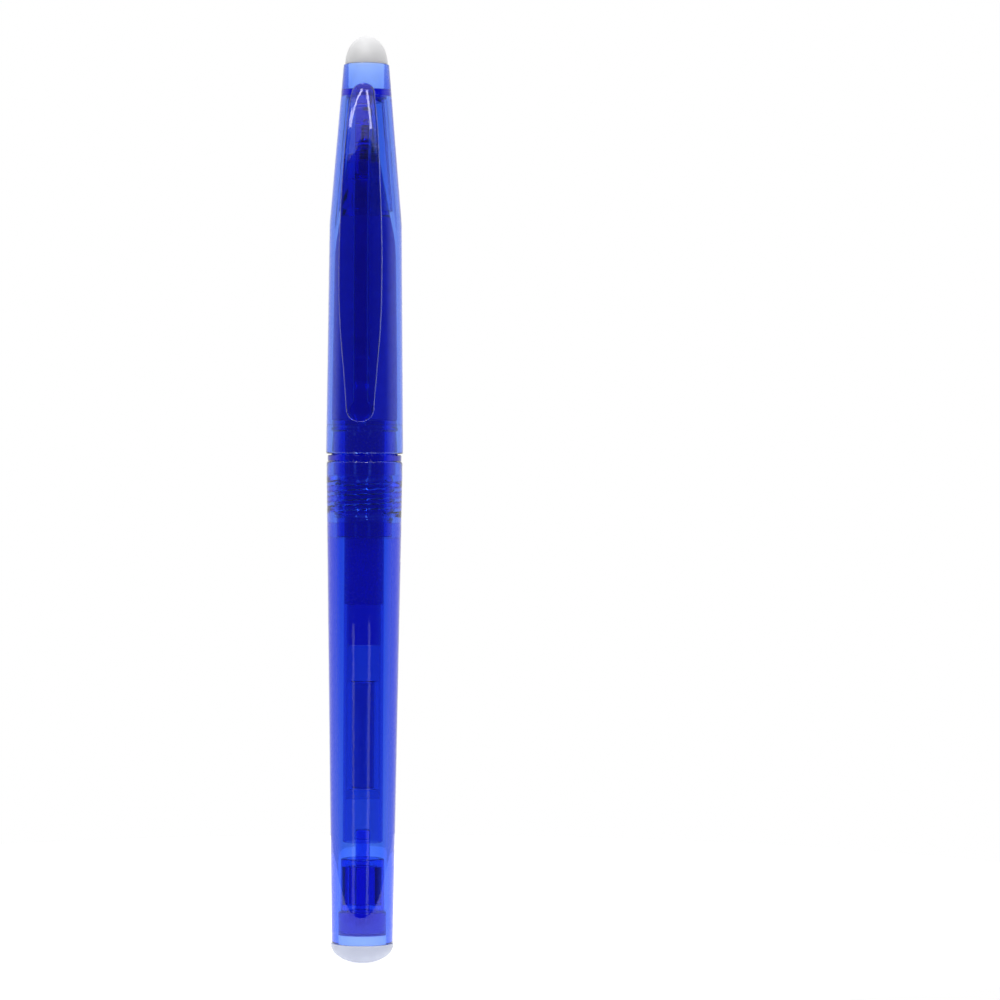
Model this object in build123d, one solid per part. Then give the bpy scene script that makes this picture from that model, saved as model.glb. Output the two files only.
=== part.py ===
from build123d import *
import math
import os

# Capped gel-ink marking pen, standing on its tail. Millimetres.
# +Z runs along the pen from the tail to the cap, and the clip is on the -Y side.
# The origin is on the axis, at the lowest point of the tail eraser.

# refill
TUBE_RADIUS = 3.2
TUBE_WALL = 0.45
HOLDER_STEP_LENGTH = 1.5
HOLDER_SPIGOT_LENGTH = 5.0
HOLDER_NECK_RADIUS = 1.45
HOLDER_FRONT_RADIUS = 1.32
POINT_RADIUS = 1.13
POINT_WALL = 0.35
POINT_CYLINDER = 1.75
POINT_CONE = 3.15
POINT_LIP_RADIUS = 0.4
POINT_SHANK_LENGTH = 4.5
POINT_FEED_RADIUS = 0.15
POINT_THROAT = 1.0
BALL_RADIUS = 0.35
BALL_PROUD = 0.2
BALL_PLAY = 0.02
TUBE_SETBACK = 7.0
HOLDER_SETBACK = 1.6
AIR_LENGTH = 7.0
GREASE_LENGTH = 31.0
FLOAT_RADIUS = 1.75
FLOAT_LENGTH = 17.4
FLOAT_MARGIN = 1.4

# barrel
BARREL_LENGTH = 77.0
BARREL_FRONT_WALL = 1.13
BARREL_TAIL_WALL = 1.03
BORE_PLAY = 0.65
SOCKET_DEPTH = 12.2
SOCKET_STEP = 0.23
SOCKET_MOUTH_DEPTH = 2.3
RIM_LAND = 2.5
RIM_FILLET = 0.3

# tail
TAIL_DOME_HEIGHT = 3.2
TAIL_STEM_LENGTH = 1.4
TAIL_LIP = 0.12
TAIL_LIP_BAND = 0.2
# angles from the axis at which a dome's outline is fixed, below its rim at 90 degrees
DOME_TURNS = (75, 45, 20, 0)
PLUG_BASE_LENGTH = 3.7
CROWN_LENGTH = 8.5
CROWN_WALL = 0.9
CROWN_PLAY = 0.4
CROWN_CHAMFER = 0.4
SPOKE_COUNT = 6
SPOKE_WIDTH = 1.3
SPOKE_LENGTH = 6.1
SPOKE_SILL = 1.1
POST_RADIUS = 1.15
POST_REACH = 2.0
REFILL_GAP = 2.6

# screw thread between the grip section and the barrel
PITCH = 1.6
THREAD_TURNS = 4
THREAD_HEIGHT = 0.4
THREAD_ROOT_WIDTH = 0.85
THREAD_CREST_WIDTH = 0.42
THREAD_PLAY = 0.08
THREAD_START = 2.5
THREAD_SINK = 0.12
SHOULDER_STEP = 0.15
SHOULDER_SEAT_GAP = 0.1
SPIGOT_END_GAP = 0.15

# grip section
SECTION_WALL = 1.1
REFILL_PLAY = 0.15
COLLAR_HEIGHT = 1.0
COLLAR_INSET = 0.15
COLLAR_SEAT = 0.03
SHOULDER_PLAY = 0.05
CORE_STEP = 0.1
CORE_FRONT_LENGTH = 2.0
NECK_LENGTH = 3.7
NECK_DRAFT = 0.25
NECK_PROUD = 0.08
BEAD_PROUD = 0.12
BEAD_WIDTH = 0.8
FLANGE_HEIGHT = 1.0
FLANGE_INSET = 0.08
GRIP_LENGTH = 32.4
GRIP_TAPER = 0.0149
GRIP_KNEE_FILLET = 25.0
SLEEVE_THICKNESS = 0.88
SLEEVE_FRONT_THICKNESS = 0.55
NOSE_LENGTH = 10.1
NOSE_REAR_INSET = 0.35
NOSE_FRONT_RADIUS = 2.05
NOSE_FILLET = 0.7
NOSE_LIP = 0.06
NOSE_BORE_PLAY = 0.1
HOLDER_END_GAP = 0.15
HOLDER_STEP_GAP = 0.25
SLEEVE_ROUNDING = 0.25

# cap
CAP_WALL = 0.76
CAP_SEAT_GAP = 0.15
CAP_BEAD_PLAY = 0.06
CAP_BORE_STEP = 0.07
CAP_SOCKET_DEPTH = 4.65
SNAP_RIB_PLAY = 0.03
SNAP_RIB_SETBACK = 1.0
SNAP_RIB_HALF = 0.4
CAP_SKIRT_LENGTH = 36.9
CAP_SKIRT_DRAFT = 0.4
CAP_SHOULDER_FILLET = 20.0
CAP_TOP_RADIUS = 3.64
CAP_HEADROOM = 4.3
CAP_END_WALL = 0.9
ERASER_SOCKET_DEPTH = 4.1
ERASER_HEIGHT = 4.65
ERASER_BASE_RADIUS = 3.4
ERASER_STEM_RADIUS = 2.85
INNER_CAP_WALL = 0.4
INNER_CAP_TOP = 1.0
INNER_CAP_TOP_RADIUS = 2.45
INNER_CAP_FLANGE = 0.5
INNER_CAP_OVERLAP = 1.0
INNER_CAP_PLAY = 0.12
FIN_COUNT = 4
FIN_THICKNESS = 0.6
FIN_TAPER = 4.0
FIN_REACH = 2.0
FIN_GAP = 0.05

# clip
CLIP_TOP_DROP = 3.3
CLIP_LENGTH = 54.1
CLIP_HEAD_LENGTH = 15.6
CLIP_HALF_WIDTH = 3.4
CLIP_CROWN = 1.4
CLIP_TRIM = 0.4
CLIP_SPINE_OVERLAP = 0.3
RIB_WIDTH = 2.0
CLIP_ROOT_GAP = 0.04
CLIP_BELLY = 4.07
CLIP_WAIST = 3.34
CLIP_WAIST_RISE = 5.0
CLIP_ROOT_REACH = 3.54
CLIP_ROOT_DROP = 1.0
CLIP_FOOT = 3.62
CLIP_BELLY_SHARE = 0.33
CLIP_WIDEST_SHARE = 0.35
CLIP_GAP = 0.5
RIB_RELIEF = 0.17
BUMP_RISE = 0.34
BUMP_SETBACK = 7.2
BUMP_LENGTH = 4.4
BOSS_SETBACK = 4.9
BOSS_LENGTH = 3.4
BOSS_GAP = 0.06
TEARDROP_RADIUS = 0.36
TEARDROP_SPACING = 3.1
TEARDROP_DROP = 4.0
TEARDROP_REACH = 0.75
TEARDROP_SPLAY = 0.1
BOSS_FLARE = 0.35
BOSS_INSET = 0.25
WEB_RISE = 1.0
WEB_SINK = 0.4
# the head's outer side, as (drop from the clip's top, distance beyond the cap's mouth radius)
CLIP_HEAD_SIDE = ((1.05, 0.0), (3.7, 1.35), (9.5, 2.63))
# the clip's outline from the front, as (distance from one end, share of the half width)
CLIP_HEAD_PLAN = ((0.45, 0.40), (2.2, 0.60), (7.5, 0.76))
CLIP_FOOT_PLAN = ((8.5, 0.80), (1.9, 0.60), (0.35, 0.38))
# the rib's inner edge at the foot, as (distance beyond the cap's mouth radius, distance from the end)
RIB_FOOT_EDGE = ((0.75, 2.5), (1.15, 0.6))

# heights along the axis
tail_face = TAIL_DOME_HEIGHT
rim = tail_face + BARREL_LENGTH
socket_floor = rim - SOCKET_DEPTH
plug_bottom = tail_face + TAIL_STEM_LENGTH
plug_top = plug_bottom + PLUG_BASE_LENGTH
crown_top = plug_top + CROWN_LENGTH
thread_start = socket_floor + THREAD_START + THREAD_ROOT_WIDTH / 2
tube_rear = crown_top + REFILL_GAP
collar_bottom = rim + COLLAR_SEAT
collar_top = collar_bottom + COLLAR_HEIGHT
bead_middle = collar_top + NECK_LENGTH + BEAD_WIDTH / 2
flange_bottom = collar_top + NECK_LENGTH + BEAD_WIDTH
grip_rear = flange_bottom + FLANGE_HEIGHT
nose_rear = grip_rear + GRIP_LENGTH
nose_front = nose_rear + NOSE_LENGTH
tube_front = nose_rear - TUBE_SETBACK
holder_front = nose_front - HOLDER_SETBACK
grease_rear = tube_rear + AIR_LENGTH
grease_front = grease_rear + GREASE_LENGTH
point_cylinder_front = nose_front + POINT_CYLINDER
point_lip = point_cylinder_front + POINT_CONE
ball_centre = point_lip + BALL_PROUD - BALL_RADIUS
point_tip = ball_centre + BALL_RADIUS
cap_mouth = collar_top + CAP_SEAT_GAP
cap_shoulder = cap_mouth + CAP_SKIRT_LENGTH
end_wall = point_tip + CAP_HEADROOM
cap_top = end_wall + CAP_END_WALL + ERASER_SOCKET_DEPTH
clip_top = cap_top - CLIP_TOP_DROP
clip_root = clip_top - CLIP_HEAD_LENGTH
clip_end = clip_top - CLIP_LENGTH
inner_cap_mouth = nose_rear + INNER_CAP_OVERLAP
inner_cap_top = end_wall - INNER_CAP_TOP
fin_bottom = nose_rear - FIN_REACH

# radii, from the refill outwards
tube_bore = TUBE_RADIUS - TUBE_WALL
section_bore = TUBE_RADIUS + REFILL_PLAY
spigot_radius = section_bore + SECTION_WALL
thread_crest = spigot_radius + THREAD_HEIGHT
socket_bore = spigot_radius + THREAD_PLAY
socket_root = thread_crest + THREAD_PLAY
shoulder_radius = thread_crest + SHOULDER_STEP
socket_mouth_radius = shoulder_radius + SHOULDER_PLAY
barrel_front_radius = socket_root + BARREL_FRONT_WALL
bore_front = socket_bore - SOCKET_STEP
bore_tail = TUBE_RADIUS + BORE_PLAY
barrel_tail_radius = bore_tail + BARREL_TAIL_WALL
collar_radius = barrel_front_radius - COLLAR_INSET
core_radius = spigot_radius - CORE_STEP
nose_rear_radius = core_radius - NOSE_REAR_INSET
core_front_radius = nose_rear_radius - SLEEVE_FRONT_THICKNESS
grip_radius = core_radius + SLEEVE_THICKNESS
bead_radius = grip_radius + BEAD_PROUD
neck_rear_radius = grip_radius + NECK_PROUD
cap_mouth_bore = bead_radius + CAP_BEAD_PLAY
cap_mouth_radius = cap_mouth_bore + CAP_WALL
cap_shoulder_radius = cap_mouth_radius - CAP_SKIRT_DRAFT
core_front = nose_rear - CORE_FRONT_LENGTH
rib_half = RIB_WIDTH / 2
bump_height = clip_end + BUMP_SETBACK
boss_height = bump_height + BOSS_SETBACK

# a box that stands on its base, centred on its origin
standing = (Align.CENTER, Align.CENTER, Align.MIN)


def blend(low, high, start, end, height):
    """The value at a height on the straight line from low at start to high at end."""
    return low + (high - low) * (height - start) / (end - start)


def bore_at(height):
    """Radius of the barrel's tapered bore below its socket."""
    return blend(bore_tail, bore_front, tail_face, socket_floor, height)


def nose_at(height):
    """Radius of the section's conical nose."""
    return blend(nose_rear_radius, NOSE_FRONT_RADIUS, nose_rear, nose_front, height)


def cap_outer_at(height):
    """Outer radius of the cap: a drafted skirt below the shoulder and a cone above it."""
    if height < cap_shoulder:
        return blend(cap_mouth_radius, cap_shoulder_radius, cap_mouth, cap_shoulder, height)
    return blend(cap_shoulder_radius, CAP_TOP_RADIUS, cap_shoulder, cap_top, height)


def inner_cap_outer_at(height):
    """Outer radius of the inner cap's tapered wall."""
    mouth = nose_at(inner_cap_mouth) + INNER_CAP_PLAY + INNER_CAP_WALL
    return blend(mouth, INNER_CAP_TOP_RADIUS + INNER_CAP_WALL, inner_cap_mouth, end_wall, height)


def turned(*corners):
    """A solid turned about the axis from (radius, height) or (radius, height, rounding) corners."""
    points = [(corner[0], 0, corner[1]) for corner in corners]
    rounds = [corner[2] if len(corner) == 3 else 0 for corner in corners]
    if any(rounds):
        outline = FilletPolyline(*points, radius=rounds, close=True)
    else:
        outline = Polyline(*points, close=True)
    return revolve(make_face(outline), Axis.Z)


def dome(base_radius, base_height, rise):
    """Half an ellipsoid on the axis. A negative rise points it down."""
    rim_point = (base_radius, 0, base_height)
    points = [rim_point]
    for turn in DOME_TURNS:
        angle = math.radians(turn)
        points.append((base_radius * math.sin(angle), 0, base_height + rise * math.cos(angle)))
    centre = (0, 0, base_height)
    arc = Spline(*points, tangents=[(0, 0, rise), (-1, 0, 0)])
    return revolve(make_face([arc, Line(points[-1], centre), Line(centre, rim_point)]), Axis.Z)


def thread_ridge(root, crest, root_width, crest_width, start, turns):
    """A right-handed screw ridge, centred on start, that is sunk a little into the wall it stands on."""
    sink = THREAD_SINK if crest > root else -THREAD_SINK
    slope = (root_width - crest_width) / (2 * (crest - root))
    foot = root_width / 2 + sink * slope
    outline = Polyline(
        (root - sink, -foot),
        (crest, -crest_width / 2),
        (crest, crest_width / 2),
        (root - sink, foot),
        close=True,
    )
    profile = Plane(origin=(0, 0, start), x_dir=(1, 0, 0), z_dir=(0, -1, 0)) * make_face(outline)
    path = Helix(PITCH, turns * PITCH, root, center=(0, 0, start))
    return sweep(profile, path=path, is_frenet=True)


def barrel():
    """Clear tapered tube with a threaded socket for the grip section."""
    mouth_floor = rim - SOCKET_MOUTH_DEPTH
    thread_floor = thread_start - THREAD_ROOT_WIDTH / 2 - THREAD_PLAY
    body = turned(
        (bore_tail, tail_face),
        (barrel_tail_radius, tail_face),
        (barrel_front_radius, rim - RIM_LAND),
        (barrel_front_radius, rim, RIM_FILLET),
        (socket_mouth_radius, rim),
        (socket_mouth_radius, mouth_floor),
        (socket_root, mouth_floor),
        (socket_root, thread_floor),
        (socket_bore, thread_floor),
        (socket_bore, socket_floor),
        (bore_front, socket_floor),
    )
    flank_play = 2 * THREAD_PLAY
    ridge = thread_ridge(
        socket_root,
        socket_bore,
        PITCH - THREAD_CREST_WIDTH - flank_play,
        PITCH - THREAD_ROOT_WIDTH - flank_play,
        thread_start + PITCH / 2,
        THREAD_TURNS - 0.5,
    )
    return body + ridge


def tail_plug():
    """Clear plug: a base, a ring and a post joined by six spokes, behind the refill."""
    base = turned(
        (0, plug_bottom),
        (bore_at(plug_bottom), plug_bottom),
        (bore_at(plug_top), plug_top),
        (0, plug_top),
    )
    outer = bore_at(plug_top) - CROWN_PLAY
    inner = outer - CROWN_WALL
    crown = turned(
        (inner, plug_top),
        (outer, plug_top),
        (outer, crown_top - CROWN_CHAMFER),
        (outer - CROWN_CHAMFER, crown_top),
        (inner, crown_top),
    )
    post_top = tube_rear + POST_REACH
    post = turned(
        (0, plug_top),
        (POST_RADIUS, plug_top),
        (POST_RADIUS, post_top - CROWN_CHAMFER),
        (POST_RADIUS - CROWN_CHAMFER, post_top),
        (0, post_top),
    )
    middle = (inner + outer) / 2
    spoke = Pos(0, 0, plug_top + SPOKE_SILL) * Box(2 * middle, SPOKE_WIDTH, SPOKE_LENGTH, align=standing)
    spokes = spoke
    for index in range(1, SPOKE_COUNT // 2):
        spokes = spokes + Rot(0, 0, 360 / SPOKE_COUNT * index) * spoke
    turned_spokes = Rot(0, 0, 90) * spokes
    return base + crown + post + turned_spokes


def tail_eraser():
    """Soft white dome on the tail, with a stem that plugs the barrel's end."""
    lip = barrel_tail_radius + TAIL_LIP
    band_bottom = tail_face - TAIL_LIP_BAND
    stem = turned(
        (0, band_bottom),
        (bore_tail, band_bottom),
        (bore_tail, tail_face),
        (bore_at(plug_bottom), plug_bottom),
        (0, plug_bottom),
    )
    rim_band = turned((0, band_bottom), (lip, band_bottom), (lip, tail_face), (0, tail_face))
    return dome(lip, band_bottom, -band_bottom) + rim_band + stem


def grip_section():
    """Clear section: threaded spigot, collar, neck with snap bead, core under the grip, and nose."""
    shoulder_bottom = rim - SOCKET_MOUTH_DEPTH + SHOULDER_SEAT_GAP
    spigot_end = socket_floor + SPIGOT_END_GAP
    bore_floor = holder_front + HOLDER_END_GAP
    tip_bore = POINT_RADIUS + SHOULDER_PLAY
    body = turned(
        (section_bore, spigot_end),
        (spigot_radius, spigot_end),
        (spigot_radius, shoulder_bottom),
        (shoulder_radius, shoulder_bottom),
        (shoulder_radius, collar_bottom),
        (collar_radius, collar_bottom),
        (collar_radius, collar_top),
        (neck_rear_radius, collar_top),
        (neck_rear_radius - NECK_DRAFT, collar_top + NECK_LENGTH),
        (bead_radius, bead_middle - BEAD_WIDTH / 4),
        (bead_radius, bead_middle + BEAD_WIDTH / 4),
        (grip_radius - FLANGE_INSET, flange_bottom),
        (grip_radius - FLANGE_INSET, grip_rear),
        (core_radius, grip_rear),
        (core_front_radius, core_front),
        (core_front_radius, nose_rear),
        (nose_rear_radius - NOSE_LIP, nose_rear),
        (NOSE_FRONT_RADIUS - NOSE_LIP, nose_front, NOSE_FILLET),
        (tip_bore, nose_front),
        (tip_bore, bore_floor),
        (HOLDER_FRONT_RADIUS + NOSE_BORE_PLAY, bore_floor),
        (HOLDER_NECK_RADIUS + NOSE_BORE_PLAY, core_front),
        (section_bore, tube_front + HOLDER_STEP_LENGTH + HOLDER_STEP_GAP),
    )
    ridge = thread_ridge(
        spigot_radius,
        thread_crest,
        THREAD_ROOT_WIDTH,
        THREAD_CREST_WIDTH,
        thread_start,
        THREAD_TURNS,
    )
    return body + ridge


def grip_sleeve():
    """Matt rubber sleeve over the section's core, bent in at a knee to meet the nose's cone."""
    slope = (nose_rear_radius - NOSE_FRONT_RADIUS) / NOSE_LENGTH
    knee_drop = (grip_radius - GRIP_TAPER * GRIP_LENGTH - nose_rear_radius) / (slope - GRIP_TAPER)
    return turned(
        (core_radius, grip_rear),
        (grip_radius, grip_rear, SLEEVE_ROUNDING),
        (nose_rear_radius + slope * knee_drop, nose_rear - knee_drop, GRIP_KNEE_FILLET),
        (nose_rear_radius, nose_rear),
        (core_front_radius, nose_rear),
        (core_front_radius, core_front),
    )


def refill_tube():
    """Plain tube that holds the ink."""
    return turned(
        (tube_bore, tube_rear),
        (TUBE_RADIUS, tube_rear),
        (TUBE_RADIUS, tube_front),
        (tube_bore, tube_front),
    )


def ink_column():
    """Ink, from the grease to the tip holder."""
    top = tube_front - HOLDER_SPIGOT_LENGTH
    return turned((0, grease_front), (tube_bore, grease_front), (tube_bore, top), (0, top))


def follower_float():
    """Rod with chamfered ends that floats in the grease."""
    rear = grease_rear + FLOAT_MARGIN
    front = rear + FLOAT_LENGTH
    chamfer_width = 0.3
    return turned(
        (0, rear),
        (FLOAT_RADIUS - chamfer_width, rear),
        (FLOAT_RADIUS, rear + chamfer_width),
        (FLOAT_RADIUS, front - chamfer_width),
        (FLOAT_RADIUS - chamfer_width, front),
        (0, front),
    )


def grease_follower():
    """Clear grease behind the ink, with the float sunk in it."""
    grease = turned((0, grease_rear), (tube_bore, grease_rear), (tube_bore, grease_front), (0, grease_front))
    return grease - follower_float()


def tip_holder():
    """Plastic holder between the tube and the metal point, with an ink channel."""
    channel = POINT_RADIUS - POINT_WALL
    shank_rear = nose_front - POINT_SHANK_LENGTH
    spigot_rear = tube_front - HOLDER_SPIGOT_LENGTH
    step_front = tube_front + HOLDER_STEP_LENGTH
    return turned(
        (channel, spigot_rear),
        (tube_bore, spigot_rear),
        (tube_bore, tube_front),
        (TUBE_RADIUS, tube_front),
        (TUBE_RADIUS, step_front),
        (HOLDER_NECK_RADIUS, core_front),
        (HOLDER_FRONT_RADIUS, holder_front),
        (POINT_RADIUS, holder_front),
        (POINT_RADIUS, shank_rear),
        (channel, shank_rear),
    )


def point_body():
    """Turned metal point with a cone, a rolled lip and a seat for the ball."""
    shank_rear = nose_front - POINT_SHANK_LENGTH
    channel = POINT_RADIUS - POINT_WALL
    body = turned(
        (0, shank_rear),
        (POINT_RADIUS, shank_rear),
        (POINT_RADIUS, point_cylinder_front),
        (POINT_LIP_RADIUS, point_lip),
        (0, point_lip),
    )
    bore = turned(
        (0, shank_rear),
        (channel, shank_rear),
        (channel, point_cylinder_front - POINT_THROAT),
        (0, point_cylinder_front),
    )
    feed = Pos(0, 0, ball_centre) * Cylinder(POINT_FEED_RADIUS, 2 * (POINT_CONE + POINT_THROAT))
    seat = Pos(0, 0, ball_centre) * Sphere(BALL_RADIUS + BALL_PLAY)
    return body - bore - feed - seat


def point_ball():
    """Carbide ball that rolls in the point."""
    return Pos(0, 0, ball_centre) * Sphere(BALL_RADIUS)


def cap_body():
    """Clear cap wall: bore with bead groove and snap rib, end wall, and socket for the eraser."""
    step = cap_mouth + CAP_SOCKET_DEPTH
    rib_middle = bead_middle - SNAP_RIB_SETBACK
    shoulder_bore = cap_shoulder_radius - CAP_WALL
    outer = turned(
        (0, cap_mouth),
        (cap_mouth_radius, cap_mouth, RIM_FILLET),
        (cap_shoulder_radius, cap_shoulder, CAP_SHOULDER_FILLET),
        (CAP_TOP_RADIUS, cap_top),
        (0, cap_top),
    )
    bore = turned(
        (0, cap_mouth),
        (cap_mouth_bore, cap_mouth),
        (cap_mouth_bore, rib_middle - SNAP_RIB_HALF),
        (bead_radius + SNAP_RIB_PLAY, rib_middle),
        (cap_mouth_bore, rib_middle + SNAP_RIB_HALF),
        (cap_mouth_bore, step),
        (cap_mouth_bore - CAP_BORE_STEP, step),
        (shoulder_bore, cap_shoulder),
        (cap_outer_at(end_wall) - CAP_WALL, end_wall),
        (0, end_wall),
    )
    socket_bottom = end_wall + CAP_END_WALL
    socket = turned(
        (0, socket_bottom),
        (ERASER_STEM_RADIUS, socket_bottom),
        (ERASER_STEM_RADIUS, cap_top),
        (0, cap_top),
    )
    return outer - bore - socket


def cap_fins():
    """Longitudinal fins on the cap's bore that centre the inner cap, tapered at their lower ends."""
    taper_top = fin_bottom + FIN_TAPER
    fin_top = end_wall - INNER_CAP_FLANGE - FIN_GAP
    sunk = CAP_WALL / 2
    outline = Polyline(
        (cap_outer_at(fin_bottom) - sunk, 0, fin_bottom),
        (cap_outer_at(fin_bottom) - CAP_WALL, 0, fin_bottom),
        (inner_cap_outer_at(taper_top) + FIN_GAP, 0, taper_top),
        (inner_cap_outer_at(fin_top) + FIN_GAP, 0, fin_top),
        (cap_outer_at(fin_top) - sunk, 0, fin_top),
        close=True,
    )
    fin = extrude(make_face(outline), FIN_THICKNESS / 2, dir=(0, 1, 0), both=True)
    fins = fin
    for index in range(1, FIN_COUNT):
        fins = fins + Rot(0, 0, 360 / FIN_COUNT * index) * fin
    return fins


def cap_eraser():
    """Soft white dome on the cap, with a stem in the cap's socket."""
    stem_bottom = end_wall + CAP_END_WALL
    stem = turned(
        (0, stem_bottom),
        (ERASER_STEM_RADIUS, stem_bottom),
        (ERASER_STEM_RADIUS, cap_top),
        (0, cap_top),
    )
    return dome(ERASER_BASE_RADIUS, cap_top, ERASER_HEIGHT) + stem


def inner_cap():
    """Thin cup inside the cap that closes on the nose and keeps the point from drying."""
    mouth_bore = nose_at(inner_cap_mouth) + INNER_CAP_PLAY
    top_radius = inner_cap_outer_at(end_wall - INNER_CAP_FLANGE)
    flange = cap_outer_at(end_wall) - CAP_WALL
    return turned(
        (0, end_wall),
        (flange, end_wall),
        (flange, end_wall - INNER_CAP_FLANGE),
        (top_radius, end_wall - INNER_CAP_FLANGE),
        (inner_cap_outer_at(inner_cap_mouth), inner_cap_mouth),
        (mouth_bore, inner_cap_mouth),
        (INNER_CAP_TOP_RADIUS, inner_cap_top),
        (0, inner_cap_top),
    )


def clip_outer_edge():
    """Points of the clip's outer side, as (distance in front of the axis, height)."""
    head = [(cap_mouth_radius + reach, clip_top - drop) for drop, reach in CLIP_HEAD_SIDE]
    return [
        (cap_outer_at(clip_top) - CLIP_TRIM, clip_top + CLIP_TRIM),
        *head,
        (cap_mouth_radius + CLIP_ROOT_REACH, clip_root - CLIP_ROOT_DROP),
        (cap_mouth_radius + CLIP_BELLY, blend(clip_root, clip_end, 0, 1, CLIP_BELLY_SHARE)),
        (cap_mouth_radius + CLIP_WAIST, clip_end + CLIP_WAIST_RISE),
        (cap_mouth_radius + CLIP_FOOT, clip_end - CLIP_TRIM),
    ]


def side_solid(edges, half_width):
    """A solid of one thickness from an outline in the pen's side plane."""
    return extrude(make_face(edges), half_width, dir=(1, 0, 0), both=True)


def clip_plan():
    """The clip's rounded outline seen from the front, cut straight through."""
    head = [(share * CLIP_HALF_WIDTH, clip_top - drop) for drop, share in CLIP_HEAD_PLAN]
    foot = [(share * CLIP_HALF_WIDTH, clip_end + rise) for rise, share in CLIP_FOOT_PLAN]
    widest = (CLIP_HALF_WIDTH, blend(clip_root, clip_end, 0, 1, CLIP_WIDEST_SHARE))
    side = [*head, widest, *foot]
    other = [(-across, height) for across, height in reversed(side)]
    outline = [(0, clip_top), *side, (0, clip_end), *other]
    face = make_face(Spline(*[(across, 0, height) for across, height in outline], periodic=True))
    return extrude(face, cap_mouth_radius + CLIP_BELLY + 2, dir=(0, -1, 0))


def clip_crown():
    """The clip's arched outer strip, whole, before it is split at its root."""
    points = [(0, -distance, height) for distance, height in clip_outer_edge()]
    outer = Spline(*points)
    inner = Pos(0, CLIP_CROWN, 0) * Spline(*points)
    ends = [Line(outer @ 0, inner @ 0), Line(outer @ 1, inner @ 1)]
    strip = side_solid([outer, inner, *ends], CLIP_HALF_WIDTH + 1)
    return strip & clip_plan()


def rib_inner_edge():
    """Points of the rib's inner edge from the root to the foot, as (distance, height)."""
    relief = CLIP_GAP + RIB_RELIEF
    half_bump = BUMP_LENGTH / 2
    half_top = BUMP_LENGTH / 8
    return [
        (cap_outer_at(clip_root) + CLIP_GAP + CLIP_SPINE_OVERLAP, clip_root),
        (cap_outer_at(cap_shoulder) + CLIP_GAP, cap_shoulder),
        (cap_outer_at(boss_height) + relief, boss_height),
        (cap_outer_at(bump_height) + relief, bump_height + half_bump),
        (cap_outer_at(bump_height) + relief - BUMP_RISE, bump_height + half_top),
        (cap_outer_at(bump_height) + relief - BUMP_RISE, bump_height - half_top),
        (cap_outer_at(bump_height) + relief, bump_height - half_bump),
        *[(cap_mouth_radius + reach, clip_end + rise) for reach, rise in RIB_FOOT_EDGE],
    ]


def clip_rib():
    """The rib under the strip: the arm's stiffener, with a bump that bites the cloth."""
    inner = [(0, -distance, height) for distance, height in rib_inner_edge()]
    strip = [point for point in clip_outer_edge() if rib_inner_edge()[-1][1] < point[1] < clip_root]
    middle = [(0, -distance + CLIP_CROWN / 2, height) for distance, height in strip]
    top = (0, -cap_mouth_radius - CLIP_WAIST + CLIP_SPINE_OVERLAP, clip_root)
    outline = Polyline(top, *inner, *reversed(middle), close=True)
    return side_solid(outline.edges(), rib_half)


def teardrop(distance, height):
    """A drop-shaped hole through the web, with its point down and outwards."""
    side = (0.95 * TEARDROP_RADIUS, 0.3 * TEARDROP_RADIUS)
    other_side = (-side[0], -side[1])
    point = (1.6 * TEARDROP_RADIUS, -2.2 * TEARDROP_RADIUS)
    drop = Circle(TEARDROP_RADIUS) + make_face(Polyline(other_side, side, point, close=True))
    place = Plane(origin=(0, -distance, height), x_dir=(0, -1, 0), z_dir=(-1, 0, 0))
    return extrude(place * drop, RIB_WIDTH, both=True)


def cap_web():
    """The fin that joins the clip's head to the cap, with three drop-shaped holes."""
    low_cap = clip_root + WEB_RISE
    head = [point for point in clip_outer_edge() if point[1] > clip_root]
    outside = [(0, -distance + CLIP_CROWN / 2, height) for distance, height in head[1:]]
    outline = Polyline(
        (0, -cap_outer_at(clip_top) + WEB_SINK, clip_top - WEB_SINK),
        *outside,
        (0, -cap_mouth_radius - CLIP_WAIST + CLIP_SPINE_OVERLAP, clip_root),
        (0, -rib_inner_edge()[0][0], clip_root),
        (0, -cap_outer_at(low_cap) + WEB_SINK, low_cap),
        close=True,
    )
    web = side_solid(outline.edges(), rib_half)
    for index in range(3):
        height = clip_top - TEARDROP_DROP - TEARDROP_SPACING * index
        reach = TEARDROP_REACH + TEARDROP_SPLAY * index
        web = web - teardrop(cap_outer_at(height) + reach, height)
    return web


def above(height):
    """A block that holds everything above a height."""
    size = 4 * cap_mouth_radius
    return Pos(0, 0, height) * Box(size, size, 2 * CLIP_LENGTH, align=standing)


def boss():
    """The trapezoid on the cap that the clip's rib rests near."""
    half = BOSS_LENGTH / 2
    tip = cap_outer_at(boss_height) + CLIP_GAP + RIB_RELIEF - BOSS_GAP
    root = cap_outer_at(boss_height) - CAP_WALL / 2
    outline = Polyline(
        (0, -root, boss_height - half - BOSS_FLARE),
        (0, -root, boss_height + half + BOSS_FLARE),
        (0, -tip, boss_height + half - BOSS_INSET),
        (0, -tip, boss_height - half + BOSS_INSET),
        close=True,
    )
    return side_solid(outline.edges(), rib_half + 0.1)


def cap_shell():
    """The cap with the fixed head of its clip, the web, the boss and the fins in its bore."""
    inside = CAP_WALL / 2
    filled = turned(
        (0, cap_mouth),
        (cap_mouth_radius - inside, cap_mouth),
        (cap_shoulder_radius - inside, cap_shoulder),
        (CAP_TOP_RADIUS - inside, cap_top),
        (0, cap_top),
    )
    head = clip_crown() & above(clip_root)
    return cap_body() + (head + cap_web() - filled) + boss() + cap_fins()


def clip_arm():
    """The springy arm of the clip below its root."""
    return clip_crown() + clip_rib() - above(clip_root - CLIP_ROOT_GAP)


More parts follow.
